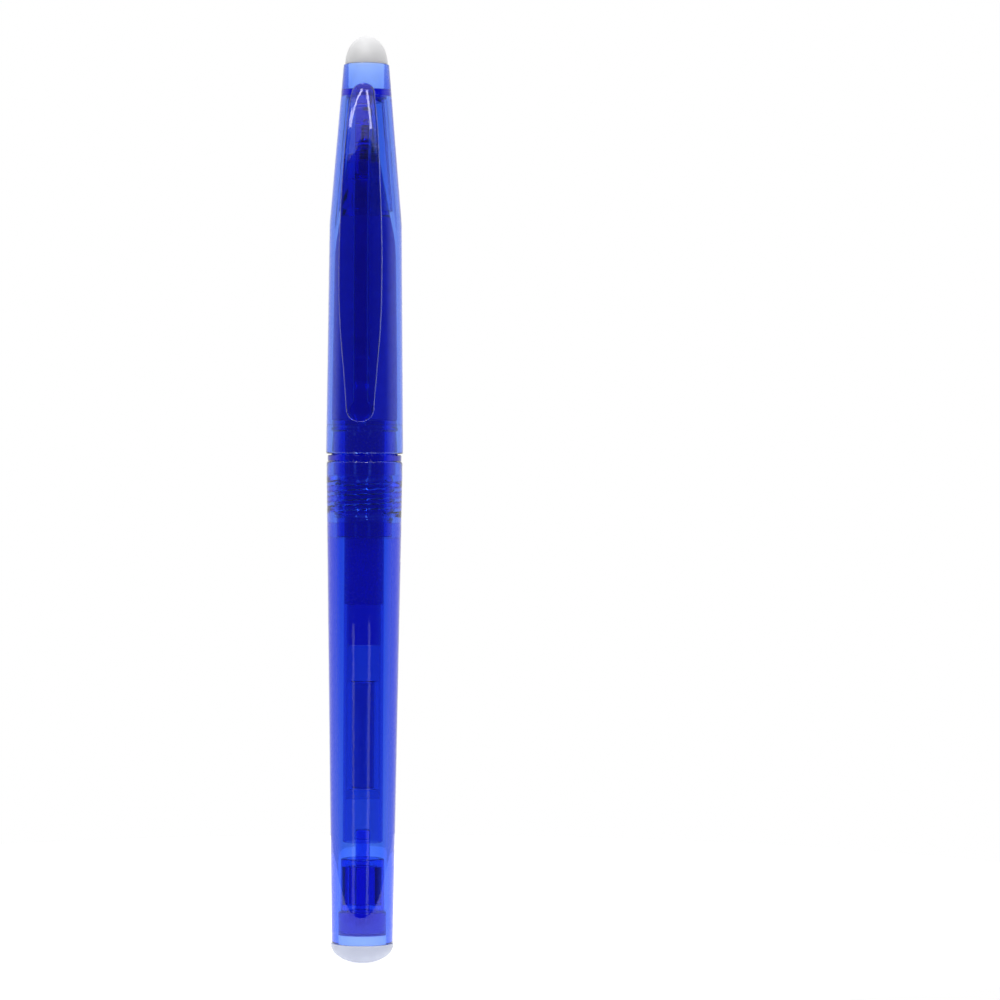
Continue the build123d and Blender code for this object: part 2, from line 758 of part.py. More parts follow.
os.makedirs("parts", exist_ok=True)
for make in (
    barrel,
    tail_plug,
    tail_eraser,
    grip_section,
    grip_sleeve,
    refill_tube,
    ink_column,
    grease_follower,
    follower_float,
    tip_holder,
    point_body,
    point_ball,
    cap_shell,
    cap_eraser,
    inner_cap,
    clip_arm,
):
    export_step(make(), f"parts/{make.__name__}.step")
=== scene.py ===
import math

import bmesh
import bpy
from mathutils import Matrix, Vector


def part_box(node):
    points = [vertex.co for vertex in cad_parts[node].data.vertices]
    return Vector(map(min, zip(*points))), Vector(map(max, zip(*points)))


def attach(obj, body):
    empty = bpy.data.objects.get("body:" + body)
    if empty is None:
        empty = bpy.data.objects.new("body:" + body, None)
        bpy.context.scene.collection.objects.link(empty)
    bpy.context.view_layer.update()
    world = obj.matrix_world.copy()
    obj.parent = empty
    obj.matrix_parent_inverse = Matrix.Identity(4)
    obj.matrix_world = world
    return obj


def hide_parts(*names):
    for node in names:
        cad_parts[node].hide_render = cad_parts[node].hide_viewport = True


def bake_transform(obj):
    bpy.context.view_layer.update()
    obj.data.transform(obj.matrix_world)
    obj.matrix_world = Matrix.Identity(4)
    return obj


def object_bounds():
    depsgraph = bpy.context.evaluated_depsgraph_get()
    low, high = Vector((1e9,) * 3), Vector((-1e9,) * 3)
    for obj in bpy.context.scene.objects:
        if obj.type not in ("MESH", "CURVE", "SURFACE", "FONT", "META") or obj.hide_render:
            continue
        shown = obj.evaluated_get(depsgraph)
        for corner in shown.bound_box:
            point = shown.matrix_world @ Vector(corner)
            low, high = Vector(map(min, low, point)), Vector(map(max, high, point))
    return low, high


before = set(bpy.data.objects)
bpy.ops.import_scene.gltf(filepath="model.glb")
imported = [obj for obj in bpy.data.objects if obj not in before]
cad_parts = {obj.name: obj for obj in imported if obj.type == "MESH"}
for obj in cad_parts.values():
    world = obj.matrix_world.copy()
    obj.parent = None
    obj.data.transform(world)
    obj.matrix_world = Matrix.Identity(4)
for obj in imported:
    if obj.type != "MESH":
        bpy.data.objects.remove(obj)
cad_low, cad_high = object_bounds()

# Outlines and lists of sizes are in millimetres; a mesh is made in metres.
MM = 0.001
SEGMENTS = 240
ARC_STEPS = 6
FILLET_STEPS = 4
DOME_STEPS = 24
CROWN_STEPS = 8
ROWS_PER_TURN = 16
HEAD_STEPS = 40
ARM_STEPS = 110
# A rounding takes at most this share of each edge beside it.
ROUNDING_SHARE = 0.48
# Radii closer than this are the same surface.
SAME_RADIUS = 0.01
# Mesh points closer than this, in metres, become one.
WELD = 1e-8


def low_of(node):
    """Lowest height of a CAD node, in millimetres."""
    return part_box(node)[0].z / MM


def high_of(node):
    """Highest height of a CAD node, in millimetres."""
    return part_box(node)[1].z / MM


def radius_of(node):
    """Half the width of a CAD node, in millimetres."""
    low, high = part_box(node)
    return (high.x - low.x) / 2 / MM


def between(low, high, start, end, height):
    """The value at a height on the straight line from low at start to high at end."""
    return low + (high - low) * (height - start) / (end - start)


def clamped(value):
    return max(0.0, min(1.0, value))


# ---------------------------------------------------------------- sizes

# refill
TUBE_WALL = 0.45
TUBE_SEAT_GAP = 0.01
HOLDER_CHANNEL = 0.78
HOLDER_STEP_LENGTH = 1.5
HOLDER_NECK_RADIUS = 1.45
HOLDER_FRONT_RADIUS = 1.32
POINT_CONE = 3.15
POINT_WAIST_RADIUS = 0.6
POINT_WAIST_SETBACK = 0.75
POINT_LIP_RADIUS = 0.4
POINT_LIP_LENGTH = 0.12
POINT_FEED_RADIUS = 0.15
POINT_FEED_RECESS = 0.4
CONE_STEP = 0.06
CONE_STEP_HALF = 0.05
INK_WETTING = 0.02
INK_HOLLOW = 0.5
GREASE_DISH = 0.4
STAINED_LENGTH = 6.4
FLOAT_CHAMFER = 0.3

# barrel and its socket
BARREL_TAIL_WALL = 1.03
BARREL_FILLET = 30
BORE_PLAY = 0.65
RIM_LAND = 2.5
RIM_FILLET = 0.3
SOCKET_DEPTH = 12.2
SOCKET_STEP = 0.23
SOCKET_MOUTH_DEPTH = 2.3

# screw thread
PITCH = 1.6
THREAD_START = 2.5
THREAD_TURNS = 4
THREAD_HEIGHT = 0.4
THREAD_PLAY = 0.08
THREAD_ROOT_WIDTH = 0.85
THREAD_CREST_WIDTH = 0.42
THREAD_FADE = 0.3

# tail
TAIL_LIP_BAND = 0.2
PLUG_BASE_LENGTH = 3.7
CROWN_LENGTH = 8.5
CROWN_WALL = 0.9
CROWN_PLAY = 0.4
SPOKE_COUNT = 6
SPOKE_WIDTH = 1.3
SPOKE_LENGTH = 6.1
SPOKE_SILL = 1.1
POST_RADIUS = 1.15

# grip section
REFILL_PLAY = 0.15
SECTION_WALL = 1.1
SHOULDER_STEP = 0.15
SHOULDER_PLAY = 0.05
SHOULDER_SEAT_GAP = 0.1
COLLAR_SEAT = 0.03
COLLAR_HEIGHT = 1.0
NECK_LENGTH = 3.7
NECK_PROUD = 0.08
NECK_DRAFT = 0.25
BEAD_WIDTH = 0.8
BEAD_PROUD = 0.12
FLANGE_INSET = 0.08
CORE_FRONT_LENGTH = 2.0
SLEEVE_THICKNESS = 0.88
SLEEVE_FRONT_THICKNESS = 0.55
KNEE_SETBACK = 4.6
KNEE_RISE = 0.86
KNEE_FILLET = 25
NOSE_REAR_RADIUS = 4.0
NOSE_REAR_INSET = 0.04
NOSE_FRONT_RADIUS = 2.05
NOSE_FILLET = 0.7
NOSE_BORE_PLAY = 0.1
POINT_BORE_PLAY = 0.05
HOLDER_END_GAP = 0.15
HOLDER_STEP_GAP = 0.25

# cap
CAP_WALL = 0.76
CAP_BORE_STEP = 0.07
CAP_SOCKET_DEPTH = 4.65
CAP_SKIRT_LENGTH = 36.9
CAP_SKIRT_DRAFT = 0.4
CAP_SHOULDER_FILLET = 20
CAP_TOP_RADIUS = 3.64
CAP_END_WALL = 0.9
SNAP_RIB_SETBACK = 1.0
SNAP_RIB_HALF = 0.4
SNAP_RIB_PLAY = 0.03
ERASER_STEM_RADIUS = 2.85
ERASER_BAND = 0.1
INNER_CAP_WALL = 0.4
INNER_CAP_TOP = 1.0
INNER_CAP_TOP_RADIUS = 2.45
INNER_CAP_FLANGE = 0.5
INNER_CAP_PLAY = 0.03
FIN_COUNT = 4
FIN_THICKNESS = 0.6
FIN_TAPER = 4.0
FIN_REACH = 2.0
FIN_GAP = 0.05

# clip
CLIP_TOP_DROP = 3.3
CLIP_THICKNESS = 1.35
CLIP_ARCH = 0.32
CLIP_ARCH_HALF = 2
CLIP_TOP_ROUNDING = 1.7
CLIP_FOOT_ROUNDING = 2.1
CLIP_TIP_OUTER = 0.5
CLIP_TIP_INNER = 0.4
CLIP_TIP_RISE = 0.3
CLIP_THINNEST = 0.02
CLIP_UPPER_EDGE = 0.45
CLIP_LOWER_EDGE = 0.3
CLIP_EDGE_SHARE = 0.8
CLIP_ROOT_GAP = 0.04
RIB_HALF = 1.0
RIB_LEAST_DEPTH = 0.2
RIB_SHARE = 0.86
RIB_FILLET = 0.07
RIB_CORNER = 0.09
RIB_EDGE_SHARE = 0.4
WEB_RISE = 1.0
WEB_SINK = 0.4
PAD_RADIUS = 1.62
PAD_FROM_END = 2.0
BOSS_SETBACK = 12.1
BOSS_ROOT_HALF = 2.05
BOSS_TIP_HALF = 1.45
BOSS_GAP = 0.06
BOSS_PROUD = 0.1
TEARDROP_COUNT = 3
TEARDROP_RADIUS = 0.37
TEARDROP_POINT = 2.4
TEARDROP_ARC = 280
TEARDROP_LEAN = -62
TEARDROP_DROP = 4.0
TEARDROP_SPACING = 3.1
TEARDROP_REACH = 0.85
TEARDROP_SPLAY = 0.1

# The gap between pieces that are pressed together, and how far a joined block is sunk in a wall.
FIT = 0.02
SUNK = 0.3

# studio, in metres and degrees
FLOOR_RADIUS = 0.15
FLOOR_FRONT = 0.06
FLOOR_GLOW = 0.8
FIELD = 0.160
CAMERA_DISTANCE = 0.634
CAMERA_ASIDE = 0.0217
CAMERA_TURN = 2.8
CAMERA_ROLL = 0.28
# Each light's name, turn from the pen's front, distance, height, width, length and radiance.
LIGHTS = (
    ("left_strip", -29, 0.8, -0.17, 0.12, 0.36, 1.0),
    ("right_strip", 23, 0.8, -0.17, 0.12, 0.36, 1.0),
    ("front_fill", 4.8, 0.8, 0.9, 1.2, 0.8, 0.9),
    ("left_high", -28, 0.7, 1.0, 0.08, 1.0, 11.0),
    ("right_high", 12.5, 0.7, 1.0, 0.08, 1.0, 11.0),
)
# The room's brightness from in front of the pen, at 0, to behind it, at 1.
ROOM_TONES = ((0.0, 0.09), (0.36, 0.14), (0.56, 0.90), (1.0, 1.0))
SKY_TONE = 1.0
SKY_START = 0.35
SKY_FULL = 0.75

# heights that several pieces share
tail_face = low_of("barrel")
rim = high_of("barrel")
socket_floor = rim - SOCKET_DEPTH
plug_bottom = low_of("tail_plug")
plug_top = plug_bottom + PLUG_BASE_LENGTH
collar_bottom = rim + COLLAR_SEAT
collar_top = collar_bottom + COLLAR_HEIGHT
neck_top = collar_top + NECK_LENGTH
grip_rear = low_of("grip_sleeve")
nose_rear = high_of("grip_sleeve")
nose_front = high_of("grip_section")
tube_rear = low_of("refill_tube")
tube_front = high_of("refill_tube")
cap_mouth = low_of("cap_shell")
cap_top = high_of("cap_shell")
cap_shoulder = cap_mouth + CAP_SKIRT_LENGTH
end_wall = high_of("inner_cap")
clip_top = cap_top - CLIP_TOP_DROP
clip_root = high_of("clip_arm")
clip_end = low_of("clip_arm")
thread_start = socket_floor + THREAD_START + THREAD_ROOT_WIDTH / 2

# radii that several pieces share
point_radius = radius_of("point_body")
barrel_radius = radius_of("barrel")
tube_radius = radius_of("refill_tube")
section_bore = tube_radius + REFILL_PLAY
spigot_radius = section_bore + SECTION_WALL
thread_crest = spigot_radius + THREAD_HEIGHT
socket_bore = spigot_radius + THREAD_PLAY
socket_root = thread_crest + THREAD_PLAY
bore_front = socket_bore - SOCKET_STEP
bore_tail = tube_radius + BORE_PLAY
barrel_tail_radius = bore_tail + BARREL_TAIL_WALL
grip_radius = radius_of("grip_sleeve")
core_radius = grip_radius - SLEEVE_THICKNESS
cap_radius = radius_of("cap_shell")
cap_shoulder_radius = cap_radius - CAP_SKIRT_DRAFT
bead_radius = grip_radius + BEAD_PROUD
sleeve_front_radius = NOSE_REAR_RADIUS - SLEEVE_FRONT_THICKNESS


def bore_at(height):
    """Radius of the barrel's tapered bore below its socket."""
    return between(bore_tail, bore_front, tail_face, socket_floor, height)


def cap_outer_at(height):
    """Outer radius of the cap: a drafted skirt below the shoulder and a cone above it."""
    if height < cap_shoulder:
        return between(cap_radius, cap_shoulder_radius, cap_mouth, cap_shoulder, height)
    return between(cap_shoulder_radius, CAP_TOP_RADIUS, cap_shoulder, cap_top, height)


# ---------------------------------------------------------------- mesh tools


def rounded(corners):
    """Outline points from (radius, height) or (radius, height, rounding) corners."""
    points = []
    for index, corner in enumerate(corners):
        place = Vector(corner[:2])
        rounding = corner[2] if len(corner) > 2 else 0
        if not rounding:
            points.append(place)
            continue
        before = Vector(corners[index - 1][:2]) - place
        after = Vector(corners[(index + 1) % len(corners)][:2]) - place
        half = before.angle(after) / 2
        longest = ROUNDING_SHARE * min(before.length, after.length)
        reach = min(rounding / math.tan(half), longest)
        middle = (before.normalized() + after.normalized()).normalized()
        centre = place + middle * reach / math.cos(half)
        start = place + before.normalized() * reach - centre
        end = place + after.normalized() * reach - centre
        side = 1 if start.cross(end) > 0 else -1
        turn = side * (math.pi - 2 * half)
        for step in range(ARC_STEPS + 1):
            points.append(centre + Matrix.Rotation(turn * step / ARC_STEPS, 2) @ start)
    return points


def new_piece(name, work):
    """A Blender object from a bmesh, with its faces pointing outwards."""
    bmesh.ops.remove_doubles(work, verts=work.verts, dist=WELD)
    bmesh.ops.recalc_face_normals(work, faces=work.faces)
    mesh = bpy.data.meshes.new(name)
    work.to_mesh(mesh)
    work.free()
    piece = bpy.data.objects.new(name, mesh)
    bpy.context.scene.collection.objects.link(piece)
    return piece


def stitch(work, ring, following):
    """Faces between two rings of the same length, or between a ring and a single point."""
    if len(ring) == 1 and len(following) == 1:
        return
    count = max(len(ring), len(following))
    for index in range(count):
        after = (index + 1) % count
        corners = [ring[index % len(ring)], ring[after % len(ring)]]
        corners += [following[after % len(following)], following[index % len(following)]]
        unique = list(dict.fromkeys(corners))
        work.faces.new(unique)


def lathe(name, corners, relief=None):
    """A solid turned about the pen's axis; relief(radius, height, angle) may reshape its surface."""
    work = bmesh.new()
    rings = []
    for radius, height in rounded(corners):
        if radius * MM < WELD:
            rings.append([work.verts.new((0, 0, height * MM))])
            continue
        ring = []
        for index in range(SEGMENTS):
            angle = 2 * math.pi * index / SEGMENTS
            reach = relief(radius, height, angle) if relief else radius
            place = (reach * math.cos(angle) * MM, reach * math.sin(angle) * MM, height * MM)
            ring.append(work.verts.new(place))
        rings.append(ring)
    for ring, following in zip(rings, rings[1:] + rings[:1]):
        stitch(work, ring, following)
    return new_piece(name, work)


def prism(name, outline, half_width, turn=0.0):
    """A block with an outline of (distance towards -Y, height), as wide as given each way along X."""
    work = bmesh.new()
    rings = []
    for across in (-half_width, half_width):
        rings.append([work.verts.new((across * MM, -reach * MM, height * MM)) for reach, height in outline])
    stitch(work, *rings)
    for ring in rings:
        work.faces.new(ring)
    bmesh.ops.rotate(work, verts=work.verts, matrix=Matrix.Rotation(turn, 3, "Z"))
    return new_piece(name, work)


def join_solids(piece, others, operation):
    """Adds the other solids to a piece, or cuts them out of it, and removes them."""
    for other in others:
        step = piece.modifiers.new("solid", "BOOLEAN")
        step.operation = operation
        step.solver = "EXACT"
        step.object = other
    bpy.context.view_layer.update()
    graph = bpy.context.evaluated_depsgraph_get()
    made = bpy.data.meshes.new_from_object(piece.evaluated_get(graph))
    piece.modifiers.clear()
    piece.data = made
    for other in others:
        bpy.data.objects.remove(other)
    return piece


def shade(piece, sharp=28):
    """Smooth shading that stops at sharp edges and keeps flat faces flat."""
    piece.data.shade_smooth()
    piece.data.set_sharp_from_angle(angle=math.radians(sharp))
    step = piece.modifiers.new("even_normals", "WEIGHTED_NORMAL")
    step.keep_sharp = True
    step.weight = 80


def finished(piece, material, body, slot, *nodes):
    """Gives a piece its shading and material, and says what it rides on and stands for."""
    shade(piece)
    piece.data.materials.clear()
    piece.data.materials.append(material)
    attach(piece, body)
    if nodes:
        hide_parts(*nodes)
    return piece


# ---------------------------------------------------------------- materials


def new_material(name):
    """An empty node material with a principled shader; returns it, its tree and the shader."""
    material = bpy.data.materials.new(name)
    material.use_nodes = True
    tree = material.node_tree
    return material, tree, tree.nodes["Principled BSDF"]


def noise(tree, scale, stretch=(1, 1, 1), detail=3.0):
    """A noise texture in the part's own space; a stretch under 1 lengthens it along that axis."""
    place = tree.nodes.new("ShaderNodeTexCoord")
    mapping = tree.nodes.new("ShaderNodeMapping")
    mapping.inputs["Scale"].default_value = stretch
    texture = tree.nodes.new("ShaderNodeTexNoise")
    texture.inputs["Scale"].default_value = scale
    texture.inputs["Detail"].default_value = detail
    tree.links.new(place.outputs["Object"], mapping.inputs["Vector"])
    tree.links.new(mapping.outputs["Vector"], texture.inputs["Vector"])
    return texture.outputs["Fac"]


def spread(tree, source, low, high):
    """Maps a noise, which stays mostly between 0.3 and 0.7, to a range."""
    node = tree.nodes.new("ShaderNodeMapRange")
    node.inputs["From Min"].default_value = 0.3
    node.inputs["From Max"].default_value = 0.7
    node.inputs["To Min"].default_value = low
    node.inputs["To Max"].default_value = high
    tree.links.new(source, node.inputs["Value"])
    return node.outputs["Result"]


def bump(tree, shader, height, strength, distance):
    """Raises the surface by a texture; distance is in metres."""
    node = tree.nodes.new("ShaderNodeBump")
    node.inputs["Strength"].default_value = strength
    node.inputs["Distance"].default_value = distance
    tree.links.new(height, node.inputs["Height"])
    tree.links.new(node.outputs["Normal"], shader.inputs["Normal"])


def colours(tree, source, low, high):
    """Mixes two colours by a texture."""
    ramp = tree.nodes.new("ShaderNodeValToRGB")
    ramp.color_ramp.elements[0].position = 0.35
    ramp.color_ramp.elements[0].color = (*low, 1)
    ramp.color_ramp.elements[1].position = 0.65
    ramp.color_ramp.elements[1].color = (*high, 1)
    tree.links.new(source, ramp.inputs["Fac"])
    return ramp.outputs["Color"]


def clear_plastic(name, loss, ior=1.5, streak=0.35):
    """Polished clear plastic; loss is how much red, green and blue it absorbs per millimetre."""
    material, tree, shader = new_material(name)
    shader.inputs["Base Color"].default_value = (1, 1, 1, 1)
    shader.inputs["Transmission Weight"].default_value = 1.0
    shader.inputs["IOR"].default_value = ior
    grain = noise(tree, 900, detail=2.0)
    tree.links.new(spread(tree, grain, 0.004, 0.03), shader.inputs["Roughness"])
    flow = noise(tree, 1500, stretch=(1, 1, 0.012))
    bump(tree, shader, flow, streak, 0.00002)
    most = max(loss)
    volume = tree.nodes.new("ShaderNodeVolumeAbsorption")
    volume.inputs["Color"].default_value = (*[1 - value / most for value in loss], 1)
    volume.inputs["Density"].default_value = most / MM
    output = tree.nodes["Material Output"]
    tree.links.new(volume.outputs["Volume"], output.inputs["Volume"])
    return material


def soft_white(name, low, high, painted_glow=0.0):
    """Satin elastomer that light enters a little; a stem gets a painted glow that stands in for the light
    its dome lets in.
    """
    material, tree, shader = new_material(name)
    tree.links.new(colours(tree, noise(tree, 350), low, high), shader.inputs["Base Color"])
    shader.inputs["Subsurface Weight"].default_value = 0.5
    shader.inputs["Subsurface Radius"].default_value = (1.0, 1.0, 1.0)
    shader.inputs["Subsurface Scale"].default_value = 1.2 * MM
    # Painted glow: this emission stands in for light that comes in through the dome; it is zero unless a
    # glow is given.
    shader.inputs["Emission Color"].default_value = (0.9, 0.95, 1.0, 1)
    shader.inputs["Emission Strength"].default_value = painted_glow
    tree.links.new(spread(tree, noise(tree, 2500), 0.30, 0.46), shader.inputs["Roughness"])
    bump(tree, shader, noise(tree, 6000), 0.12, 0.00003)
    return material


def dull(name, low, high, rough, grain_scale, depth, painted_glow):
    """Rubber, plastic or ink with a fine texture, and a faint painted blue glow that stands in for the blue
    light inside it.
    """
    material, tree, shader = new_material(name)
    tree.links.new(colours(tree, noise(tree, 500), low, high), shader.inputs["Base Color"])
    tree.links.new(spread(tree, noise(tree, 1800), rough - 0.08, rough + 0.08), shader.inputs["Roughness"])
    # Painted blue glow: this emission stands in for light scattered inside the part.
    shader.inputs["Emission Color"].default_value = (0.01, 0.02, 1.0, 1)
    shader.inputs["Emission Strength"].default_value = painted_glow
    bump(tree, shader, noise(tree, grain_scale), 0.5, depth)
    return material


def turned_metal(name, tone, rough):
    """Metal with fine rings from the lathe."""
    material, tree, shader = new_material(name)
    low = [0.86 * value for value in tone]
    rings = noise(tree, 4000, stretch=(0.02, 0.02, 1))
    tree.links.new(colours(tree, rings, low, tone), shader.inputs["Base Color"])
    shader.inputs["Metallic"].default_value = 1.0
    tree.links.new(spread(tree, rings, rough - 0.05, rough + 0.08), shader.inputs["Roughness"])
    bump(tree, shader, rings, 0.25, 0.00001)
    return material


blue = clear_plastic("clear_blue", (1.25, 0.80, 0.08))
tube_plastic = clear_plastic("refill_plastic", (1.6, 1.15, 0.12), streak=0.2)
grease_gel = clear_plastic("grease", (0.10, 0.05, 0.01), ior=1.42, streak=0.1)
stained_gel = clear_plastic("stained_grease", (0.7, 0.45, 0.06), ior=1.42, streak=0.1)
float_plastic = clear_plastic("float_plastic", (0.5, 0.35, 0.08), streak=0.1)
# Ink, grip rubber and holder plastic each carry a faint painted blue glow that stands in for light
# scattered inside them.
ink = dull(
    "ink",
    (0.006, 0.010, 0.84),
    (0.009, 0.014, 0.88),
    rough=0.25,
    grain_scale=900,
    depth=0.000001,
    painted_glow=0.22,
)
rubber = dull(
    "grip_rubber",
    (0.008, 0.018, 0.52),
    (0.012, 0.026, 0.60),
    rough=0.6,
    grain_scale=7000,
    depth=0.00003,
    painted_glow=0.21,
)
holder_plastic = dull(
    "holder_plastic",
    (0.04, 0.07, 0.60),
    (0.05, 0.09, 0.66),
    rough=0.3,
    grain_scale=2500,
    depth=0.00001,
    painted_glow=0.25,
)
cap_white = soft_white("cap_eraser_white", (0.74, 0.74, 0.75), (0.77, 0.77, 0.78))
# The eraser stems are a brighter copy of the eraser white with a painted glow, standing in for the light
# their domes let in.
stem_white_painted_glow = soft_white("eraser_stem_painted_glow", (0.93, 0.93, 0.95), (0.95, 0.95, 0.97), painted_glow=0.8)
tail_white = soft_white("tail_eraser_white", (0.47, 0.50, 0.62), (0.50, 0.53, 0.65))
point_metal = turned_metal("point_metal", (0.80, 0.79, 0.76), rough=0.22)
ball_metal = turned_metal("ball_carbide", (0.50, 0.50, 0.52), rough=0.15)


# ---------------------------------------------------------------- screw thread


def ridge_share(height, angle, start, crest_width, root_width, turns):
    """How far up a right-handed screw ridge a point is, from 0 at its root to 1 on its crest."""
    phase = (height - start) / PITCH - angle / (2 * math.pi)
    off = abs(phase - round(phase)) * PITCH
    share = clamped((root_width / 2 - off) / ((root_width - crest_width) / 2))
    run_in = clamped((height - start) / PITCH + THREAD_FADE)
    run_out = clamped((start + turns * PITCH - height) / PITCH + THREAD_FADE)
    return share * run_in * run_out


def thread_rows(radius, low, high):
    """Closely spaced outline points at one radius, for a surface that carries a thread."""
    count = round((high - low) / PITCH * ROWS_PER_TURN)
    return [(radius, between(low, high, 0, count, index)) for index in range(count + 1)]


# ---------------------------------------------------------------- barrel and tail


def barrel_clear():
    """Tapered clear tube with an internal thread, open at both ends."""
    low = thread_start - THREAD_ROOT_WIDTH / 2 - THREAD_PLAY
    high = rim - SOCKET_MOUTH_DEPTH
    mouth_radius = thread_crest + SHOULDER_STEP + SHOULDER_PLAY
    groove = PITCH - 2 * THREAD_PLAY

    def thread(radius, height, angle):
        if abs(radius - socket_root) > SAME_RADIUS or not low < height < high:
            return radius
        share = ridge_share(
            height,
            angle,
            thread_start + PITCH / 2,
            groove - THREAD_ROOT_WIDTH,
            groove - THREAD_CREST_WIDTH,
            THREAD_TURNS - 0.5,
        )
        return radius - share * (socket_root - socket_bore)

    corners = [
        (bore_tail, tail_face, 0.08),
        (barrel_tail_radius, tail_face, 0.12),
        (barrel_radius, rim - RIM_LAND, BARREL_FILLET),
        (barrel_radius, rim, RIM_FILLET),
        (mouth_radius, rim, 0.08),
        (mouth_radius, high, 0.05),
        *reversed(thread_rows(socket_root, low, high)),
        (socket_bore, low, 0.04),
        (socket_bore, socket_floor, 0.04),
        (bore_front, socket_floor, 0.04),
    ]
    piece = lathe("barrel_clear", corners, thread)
    return finished(piece, blue, "barrel", "clear_blue", "barrel")


def tail_plug_clear():
    """Clear plug: a tapered base, and a ring joined by spokes to a post up into the refill's end."""
    crown_outer = bore_at(plug_top) - CROWN_PLAY
    crown_inner = crown_outer - CROWN_WALL
    crown_top = plug_top + CROWN_LENGTH
    post_top = high_of("tail_plug")
    piece = lathe(
        "tail_plug_clear",
        [
            (0, plug_bottom + FIT),
            (bore_at(plug_bottom) - FIT, plug_bottom + FIT, 0.06),
            (bore_at(plug_top) - FIT, plug_top, 0.15),
            (crown_outer, plug_top, 0.1),
            (crown_outer, crown_top, 0.3),
            (crown_inner, crown_top, 0.1),
            (crown_inner, plug_top, 0.2),
            (POST_RADIUS, plug_top, 0.2),
            (POST_RADIUS, post_top, 0.3),
            (0, post_top),
        ],
    )
    sill = plug_top + SPOKE_SILL
    lintel = sill + SPOKE_LENGTH
    reach = (crown_inner + crown_outer) / 2
    outline = [(POST_RADIUS / 2, sill), (reach, sill), (reach, lintel), (POST_RADIUS / 2, lintel)]
    spokes = []
    for index in range(SPOKE_COUNT):
        turn = 2 * math.pi * index / SPOKE_COUNT
        spokes.append(prism("plug_spoke", outline, SPOKE_WIDTH / 2, turn))
    join_solids(piece, spokes, "UNION")
    return finished(piece, blue, "barrel", "clear_blue", "tail_plug")


def half_ellipse(radius, base, rise):
    """Outline points from the rim of a dome at (radius, base) to its top on the axis."""
    points = []
    for step in range(DOME_STEPS):
        turn = math.pi / 2 * step / DOME_STEPS
        points.append((radius * math.cos(turn), base + rise * math.sin(turn)))
    return [*points, (0, base + rise)]


def tail_eraser_soft():
    """Soft dome with a lip over the barrel's end, and its stem in the bore."""
    lip = radius_of("tail_eraser")
    dome_base = tail_face - TAIL_LIP_BAND
    seat = tail_face - FIT
    stem = lathe(
        "tail_eraser_stem",
        [
            (0, tail_face + FIT),
            (bore_tail - FIT, tail_face + FIT, 0.05),
            (bore_at(plug_bottom) - FIT, plug_bottom - FIT, 0.15),
            (0, plug_bottom - FIT),
        ],
    )
    finished(stem, stem_white_painted_glow, "barrel", "eraser_white")
    piece = lathe(
        "tail_eraser_soft",
        [*half_ellipse(lip, dome_base, -dome_base), (0, seat), (lip, seat, 0.1)],
    )
    return finished(piece, tail_white, "barrel", "eraser_white", "tail_eraser")


# ---------------------------------------------------------------- grip section


def grip_section_clear():
    """Clear section: threaded spigot, collar, neck with snap bead, core under the grip, and nose."""
    low = low_of("grip_section")
    shoulder_bottom = rim - SOCKET_MOUTH_DEPTH + SHOULDER_SEAT_GAP
    shoulder_radius = thread_crest + SHOULDER_STEP
    collar_radius = radius_of("grip_section")
    neck_radius = grip_radius + NECK_PROUD
    flange = grip_radius - FLANGE_INSET
    core_front = nose_rear - CORE_FRONT_LENGTH
    bore_floor = high_of("tip_holder") + HOLDER_END_GAP
    point_bore = point_radius + POINT_BORE_PLAY

    def thread(radius, height, angle):
        if abs(radius - spigot_radius) > SAME_RADIUS or not low < height < shoulder_bottom:
            return radius
        share = ridge_share(
            height, angle, thread_start, THREAD_CREST_WIDTH, THREAD_ROOT_WIDTH, THREAD_TURNS
        )
        return radius + share * THREAD_HEIGHT

    corners = [
        (section_bore, low, 0.1),
        *thread_rows(spigot_radius, low, shoulder_bottom),
        (shoulder_radius, shoulder_bottom, 0.1),
        (shoulder_radius, collar_bottom, 0.03),
        (collar_radius, collar_bottom, 0.1),
        (collar_radius, collar_top, 0.15),
        (neck_radius, collar_top, 0.08),
        (neck_radius - NECK_DRAFT, neck_top, 0.08),
        (bead_radius, neck_top + BEAD_WIDTH / 4, 0.12),
        (bead_radius, neck_top + BEAD_WIDTH * 3 / 4, 0.12),
        (flange, neck_top + BEAD_WIDTH, 0.06),
        (flange, grip_rear - FIT, 0.1),
        (core_radius - FIT, grip_rear - FIT, 0.05),
        (sleeve_front_radius - FIT, core_front, 0.3),
        (sleeve_front_radius - FIT, nose_rear + FIT, 0.05),
        (NOSE_REAR_RADIUS - NOSE_REAR_INSET, nose_rear + FIT, 0.08),
        (NOSE_FRONT_RADIUS, nose_front, NOSE_FILLET),
        (point_bore, nose_front, 0.15),
        (point_bore, bore_floor, 0.05),
        (HOLDER_FRONT_RADIUS + NOSE_BORE_PLAY, bore_floor, 0.05),
        (HOLDER_NECK_RADIUS + NOSE_BORE_PLAY, core_front, 0.5),
        (section_bore, tube_front + HOLDER_STEP_LENGTH + HOLDER_STEP_GAP, 0.3),
    ]
    piece = lathe("grip_section_clear", corners, thread)
    return finished(piece, blue, "section", "clear_blue", "grip_section")


def grip_sleeve_rubber():
    """Rubber sleeve: a gentle taper, then a knee in towards the nose."""
    knee = nose_rear - KNEE_SETBACK
    knee_radius = NOSE_REAR_RADIUS + KNEE_RISE
    piece = lathe(
        "grip_sleeve_rubber",
        [
            (core_radius, grip_rear, 0.05),
            (grip_radius, grip_rear, 0.25),
            (knee_radius, knee, KNEE_FILLET),
            (NOSE_REAR_RADIUS, nose_rear, 0.06),
            (sleeve_front_radius, nose_rear),
            (sleeve_front_radius, nose_rear - CORE_FRONT_LENGTH),
        ],
    )
    return finished(piece, rubber, "section", "grip_rubber", "grip_sleeve")


# ---------------------------------------------------------------- refill


